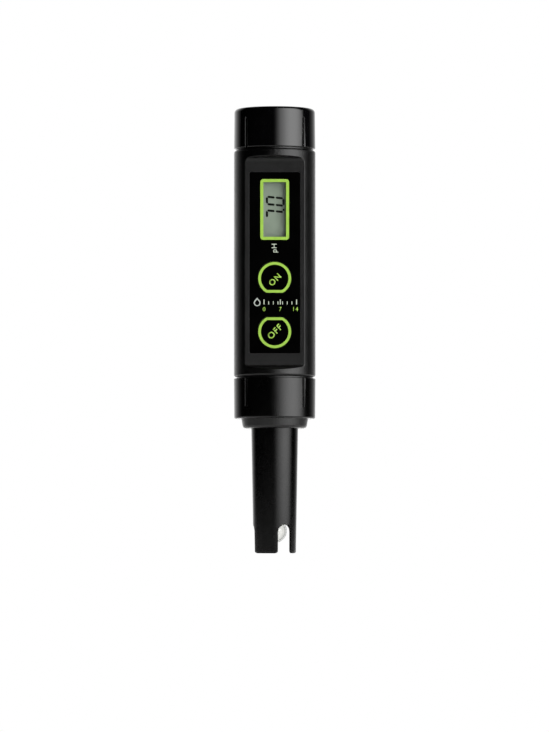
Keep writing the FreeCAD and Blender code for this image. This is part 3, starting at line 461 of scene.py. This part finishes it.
def rounded_rectangle(half_w, low, high, radius):
    """An outline between the heights low and high, with its corners rounded."""
    points = []
    for turn, x, z in ((0, half_w - radius, high - radius), (90, radius - half_w, high - radius),
                       (180, radius - half_w, low + radius), (270, half_w - radius, low + radius)):
        points += shifted(circle_points(radius, turn, turn + 90, 9), x, z)
    return points


def d_outline(radius, flat, flat_up):
    """A circle cut off straight at a distance flat from its centre, above or below it."""
    cut_deg = math.degrees(math.asin(flat / radius))
    points = circle_points(radius, cut_deg, -180 - cut_deg, 73)
    return points if flat_up else [(x, -z) for x, z in points]


def flat_text(text, weight, spacing=1.0):
    """The filled glyphs of a text as a flat mesh in its own x, y units."""
    curve = bpy.data.curves.new("lettering", "FONT")
    curve.body = text
    curve.offset = weight
    curve.space_character = spacing
    curve.resolution_u = 6
    holder = bpy.data.objects.new("lettering", curve)
    bpy.context.scene.collection.objects.link(holder)
    mesh = bpy.data.meshes.new_from_object(holder.evaluated_get(bpy.context.evaluated_depsgraph_get()))
    bpy.data.objects.remove(holder)
    return mesh


def extent(mesh, axis):
    """The lowest and highest coordinate along an axis."""
    values = [v.co[axis] for v in mesh.vertices]
    return min(values), max(values)


def lettering(name, text, cap_height, centre, turn_deg, front, body, material, weight=0.006,
              spacing=1.1):
    """Printed letters on a face that looks along -Y, turned by turn_deg as seen from the front."""
    reference = extent(flat_text("H", weight), 1)
    scale = cap_height / (reference[1] - reference[0])
    mesh = flat_text(text, weight, spacing)
    low, high = extent(mesh, 0)
    middle = Vector(((low + high) / 2, (reference[0] + reference[1]) / 2, 0))
    size = Matrix.Diagonal((scale, scale, scale, 1))
    upright = Matrix.Rotation(math.radians(90), 4, "X") @ Matrix.Rotation(math.radians(turn_deg), 4, "Z")
    place = Matrix.Translation((centre[0], front + INK_SUNK, centre[1]))
    mesh.transform(place @ upright @ size @ Matrix.Translation(-middle))
    bm = bmesh.new()
    bm.from_mesh(mesh)
    bmesh.ops.remove_doubles(bm, verts=bm.verts[:], dist=0.002 * MM)
    thicken(bm)
    finished_mesh(name, bm, body, material)


# ---------------------------------------------------------------- what is printed and shown on the front

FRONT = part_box("front_overlay")[0].y
WINDOW_LOW, WINDOW_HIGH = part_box("display_window")
WINDOW_LAP = 1.1 * MM          # how far the window sheet reaches behind the film
FRAME_LINE = 1.11 * MM
FRAME_CORNER = 1.05 * MM
KEY_LINE = 0.98 * MM           # the lime ring of a key
KEY_LINE_MARGIN = 0.27 * MM    # between that ring and the key's edge
ON_CAP_HEIGHT = 2.2 * MM
ON_WORD_DROP = 0.5 * MM        # how far the word sits under the middle of its ring
OFF_CAP_HEIGHT = 2.35 * MM
OFF_WORD_DROP = 0.0
UNIT_CAP_HEIGHT = 1.85 * MM
UNIT_PLACE = (-0.2 * MM, WINDOW_LOW.z - 3.05 * MM)
SCALE_ROW = 0.63               # where the row of marks lies in the gap between the keys, from its foot
DROPLET_R = 1.25 * MM
DROPLET_TIP = 1.9 * MM
DROPLET_X = -6.4 * MM
DROPLET_DROP = 0.3 * MM
DROPLET_HOLLOW = 0.68          # its open middle, as a share of its outline
DROPLET_HOLLOW_DROP = 0.06 * MM
SCALE_X = (-3.9 * MM, 8.0 * MM)
SCALE_LAST = 14
SCALE_MARKS = (0, 2, 4, 6, 7, 8, 10, 12, 14)
TICK_DROP = 0.9 * MM
MAJOR_TICK = (0.17 * MM, 1.85 * MM)      # half width and height of a tick with a number
MINOR_TICK = (0.13 * MM, 1.15 * MM)
NUMBER_CAP_HEIGHT = 1.5 * MM
NUMBER_DROP = 2.6 * MM
LAST_NUMBER_ASIDE = 0.35 * MM            # keeps the last number clear of the film's edge


def display_border():
    """The lime line round the display opening."""
    low, high = WINDOW_LOW.z + WINDOW_LAP, WINDOW_HIGH.z - WINDOW_LAP
    half_w = WINDOW_HIGH.x - WINDOW_LAP
    outer = rounded_rectangle(half_w + FRAME_LINE, low - FRAME_LINE, high + FRAME_LINE, FRAME_CORNER)
    inner = [(half_w, low), (half_w, high), (-half_w, high), (-half_w, low)]
    print_plate("display_border", (outer, inner), FRONT, "barrel", LIME_INK)


def key_marks(node, word, cap_height, word_drop, flat_up):
    """A key's lime ring, cut off straight like the key, and its word, set at 45 degrees."""
    low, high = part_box(node)
    radius = (high.x - low.x) / 2
    centre_z = low.z + radius if flat_up else high.z - radius
    flat = (high.z - low.z) - radius
    outside = KEY_LINE_MARGIN
    inside = KEY_LINE_MARGIN + KEY_LINE
    outer = shifted(d_outline(radius - outside, flat - outside, flat_up), 0, centre_z)
    inner = shifted(d_outline(radius - inside, flat - inside, flat_up), 0, centre_z)
    print_plate(node + "_ring", (outer, inner), low.y, node, LIME_INK)
    lettering(node + "_word", word, cap_height, (0, centre_z - word_drop), 45, low.y, node,
              LIME_INK, weight=0.018, spacing=1.16)


def scale_marks():
    """Between the keys, a plain droplet and a scale from 0 to 14 with its middle marked."""
    low_key, high_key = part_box("off_key")[1].z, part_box("on_key")[0].z
    gap = high_key - low_key
    row = low_key + SCALE_ROW * gap
    droplet = [(0, DROPLET_TIP)] + circle_points(DROPLET_R, 150, 390, 41)
    inner = [(x * DROPLET_HOLLOW, z * DROPLET_HOLLOW - DROPLET_HOLLOW_DROP) for x, z in droplet]
    place = (DROPLET_X, row - DROPLET_DROP)
    print_plate("droplet_mark", (shifted(droplet, *place), shifted(inner, *place)), FRONT, "barrel",
                ICON_PRINT)
    base = row - TICK_DROP
    for value in SCALE_MARKS:
        x = SCALE_X[0] + (SCALE_X[1] - SCALE_X[0]) * value / SCALE_LAST
        numbered = value % 7 == 0
        half_w, height = MAJOR_TICK if numbered else MINOR_TICK
        corners = [(x - half_w, base), (x + half_w, base),
                   (x + half_w, base + height), (x - half_w, base + height)]
        print_plate(f"scale_tick_{value}", (corners,), FRONT, "barrel", PALE_PRINT)
        if numbered:
            aside = LAST_NUMBER_ASIDE if value == SCALE_LAST else 0.0
            lettering(f"scale_number_{value}", str(value), NUMBER_CAP_HEIGHT, (x - aside, row - NUMBER_DROP),
                      0, FRONT, "barrel", LIME_INK)


# Seven-segment digits: each segment is a bar between two corners of the digit, in (right, up) steps.
SEGMENTS = {
    "top": ((0, 2), (1, 2)), "top_right": ((1, 2), (1, 1)), "low_right": ((1, 1), (1, 0)),
    "bottom": ((0, 0), (1, 0)), "low_left": ((0, 1), (0, 0)), "top_left": ((0, 2), (0, 1)),
}
SEVEN = ("top", "top_right", "low_right")
ZERO = tuple(SEGMENTS)
DIGIT_W = 2.68 * MM
DIGIT_H = 6.07 * MM
SEGMENT_W = 0.82 * MM
DIGIT_SLANT = 0.1
DIGIT_BASE_X = 3.22 * MM        # the digits lie on their side: their feet are to the right
SEVEN_BELOW = 3.5 * MM          # where the seven starts, below the middle of the window
ZERO_ABOVE = 1.5 * MM           # where the zero starts, above it
POINT_RIGHT = (3.1 * MM, 3.9 * MM)
POINT_UP = (-0.35 * MM, 0.3 * MM)


def on_display(right, up, start_z):
    """A place on the display: digits read upwards, with their tops to the left."""
    return DIGIT_BASE_X - up, start_z + right + DIGIT_SLANT * up


def segment_bar(a, b, start_z):
    """A bar from a to b with pointed ends, drawn in digit units."""
    ax, ay = a[0] * DIGIT_W, a[1] * DIGIT_H / 2
    bx, by = b[0] * DIGIT_W, b[1] * DIGIT_H / 2
    length = math.hypot(bx - ax, by - ay)
    ux, uy = (bx - ax) / length, (by - ay) / length
    half, clear = SEGMENT_W / 2, 0.1 * MM
    outline = []
    for along, side in ((clear, 0), (clear + half, 1), (length - clear - half, 1), (length - clear, 0),
                        (length - clear - half, -1), (clear + half, -1)):
        right = ax + ux * along - uy * side * half
        up = ay + uy * along + ux * side * half
        outline.append(on_display(right, up, start_z))
    return outline


def display_reading():
    """The reading 7.0 on the glass."""
    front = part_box("lcd_glass")[0].y
    middle_z = (WINDOW_LOW.z + WINDOW_HIGH.z) / 2
    seven_z = middle_z - SEVEN_BELOW
    zero_z = middle_z + ZERO_ABOVE
    for label, parts, start in (("seven", SEVEN, seven_z), ("zero", ZERO, zero_z)):
        for part in parts:
            print_plate(f"digit_{label}_{part}", (segment_bar(*SEGMENTS[part], start),), front, "barrel",
                        SEGMENT_BLACK)
    left, right = POINT_RIGHT
    foot, head = POINT_UP
    point = [on_display(x, z, seven_z) for x, z in ((left, foot), (right, foot), (right, head), (left, head))]
    print_plate("digit_point", (point,), front, "barrel", SEGMENT_BLACK)


# ---------------------------------------------------------------- studio

def studio_floor():
    """A pale floor under the pen that fades out far away. Seen from underneath it isn't there."""
    mesh = bpy.data.meshes.new("floor")
    bm = bmesh.new()
    bmesh.ops.create_circle(bm, cap_ends=True, segments=96, radius=FLOOR_RADIUS)
    bm.to_mesh(mesh)
    bm.free()
    floor = bpy.data.objects.new("floor", mesh)
    floor.location = (0, 0, CAD_LOW.z)
    bpy.context.scene.collection.objects.link(floor)
    made, g = new_material("floor_paper")
    cloud = g.noise(0.25, 3.0)
    paper = g.node("BsdfDiffuse", {"Color": g.mix(cloud, (0.8, 0.8, 0.79), (0.84, 0.84, 0.83))})
    away = g.node("VectorMath", {0: g.coords()}, operation="LENGTH").outputs["Value"]
    faded = g.span(away, *FLOOR_FADE, smooth=True)
    below = g.node("NewGeometry").outputs["Backfacing"]
    hidden = g.math("MAXIMUM", faded, below)
    mixed = g.node("MixShader", {0: hidden, 1: paper.outputs[0], 2: g.node("BsdfTransparent").outputs[0]})
    g.node("OutputMaterial", {"Surface": mixed.outputs[0]})
    mesh.materials.append(made)


def studio_world():
    """White for the camera; for everything else a backdrop, a softbox and darkness, by direction."""
    world = bpy.data.worlds.new("studio")
    bpy.context.scene.world = world
    world.use_nodes = True
    g = Graph(world.node_tree)
    direction = g.node("SeparateXYZ", {0: g.node("TexCoord").outputs["Generated"]})
    x, y, z = direction.outputs
    azimuth = g.math("DEGREES", g.math("ARCTAN2", x, g.math("MULTIPLY", y, -1.0)))
    elevation = g.math("DEGREES", g.math("ARCSINE", z))
    backdrop = g.math("MULTIPLY", g.profile(azimuth, -180, 180, BACKDROP_AROUND, STUDIO_PEAK),
                      g.profile(elevation, -90, 90, BACKDROP_UP, 1.0))
    softbox = g.math("MULTIPLY", g.profile(azimuth, -180, 180, SOFTBOX_AROUND, STUDIO_PEAK),
                     g.profile(elevation, -90, 90, SOFTBOX_UP, 1.0))
    level = g.math("ADD", backdrop, softbox)
    seen = g.node("LightPath").outputs["Is Camera Ray"]
    strength = g.math("ADD", g.math("MULTIPLY", level, g.math("SUBTRACT", 1.0, seen)), seen)
    back = g.node("Background", {"Color": (1, 1, 1), "Strength": strength})
    g.node("OutputWorld", {"Surface": back.outputs[0]})


def overhead_light():
    """A wide soft light above the pen, which the camera and the reflections don't see."""
    lamp = bpy.data.lights.new("overhead", "AREA")
    lamp.shape = "RECTANGLE"
    lamp.size = OVERHEAD_SIDE
    lamp.size_y = OVERHEAD_SIDE
    lamp.energy = OVERHEAD_POWER
    holder = bpy.data.objects.new("overhead", lamp)
    holder.location = OVERHEAD_PLACE
    holder.rotation_mode = "QUATERNION"
    holder.rotation_quaternion = (-Vector(OVERHEAD_PLACE)).to_track_quat("-Z", "Y")
    holder.visible_camera = False
    holder.visible_glossy = False
    bpy.context.scene.collection.objects.link(holder)


def studio_camera():
    """A long lens from the front, slightly below the pen's middle."""
    middle = (CAD_LOW + CAD_HIGH) / 2
    aim = Vector((AIM_ASIDE, 0, middle.z - AIM_UNDER_MIDDLE))
    tilt = math.radians(CAMERA_ELEVATION_DEG)
    back = Vector((0, -math.cos(tilt), math.sin(tilt)))
    camera_data = bpy.data.cameras.new("camera")
    camera_data.lens = CAMERA_LENS_MM
    camera_data.clip_end = 50
    camera = bpy.data.objects.new("camera", camera_data)
    camera.location = aim + back * CAMERA_DISTANCE
    camera.rotation_mode = "QUATERNION"
    camera.rotation_quaternion = (-back).to_track_quat("-Z", "Y")
    bpy.context.scene.collection.objects.link(camera)
    bpy.context.scene.camera = camera


finish_cad_nodes()
display_border()
key_marks("on_key", "ON", ON_CAP_HEIGHT, ON_WORD_DROP, flat_up=False)
key_marks("off_key", "OFF", OFF_CAP_HEIGHT, OFF_WORD_DROP, flat_up=True)
lettering("ph_mark", "pH", UNIT_CAP_HEIGHT, UNIT_PLACE, 90, FRONT, "barrel", PALE_PRINT,
          weight=0.0, spacing=1.12)
scale_marks()
display_reading()
studio_floor()
studio_world()
overhead_light()
studio_camera()
bpy.context.scene.view_settings.view_transform = "Standard"
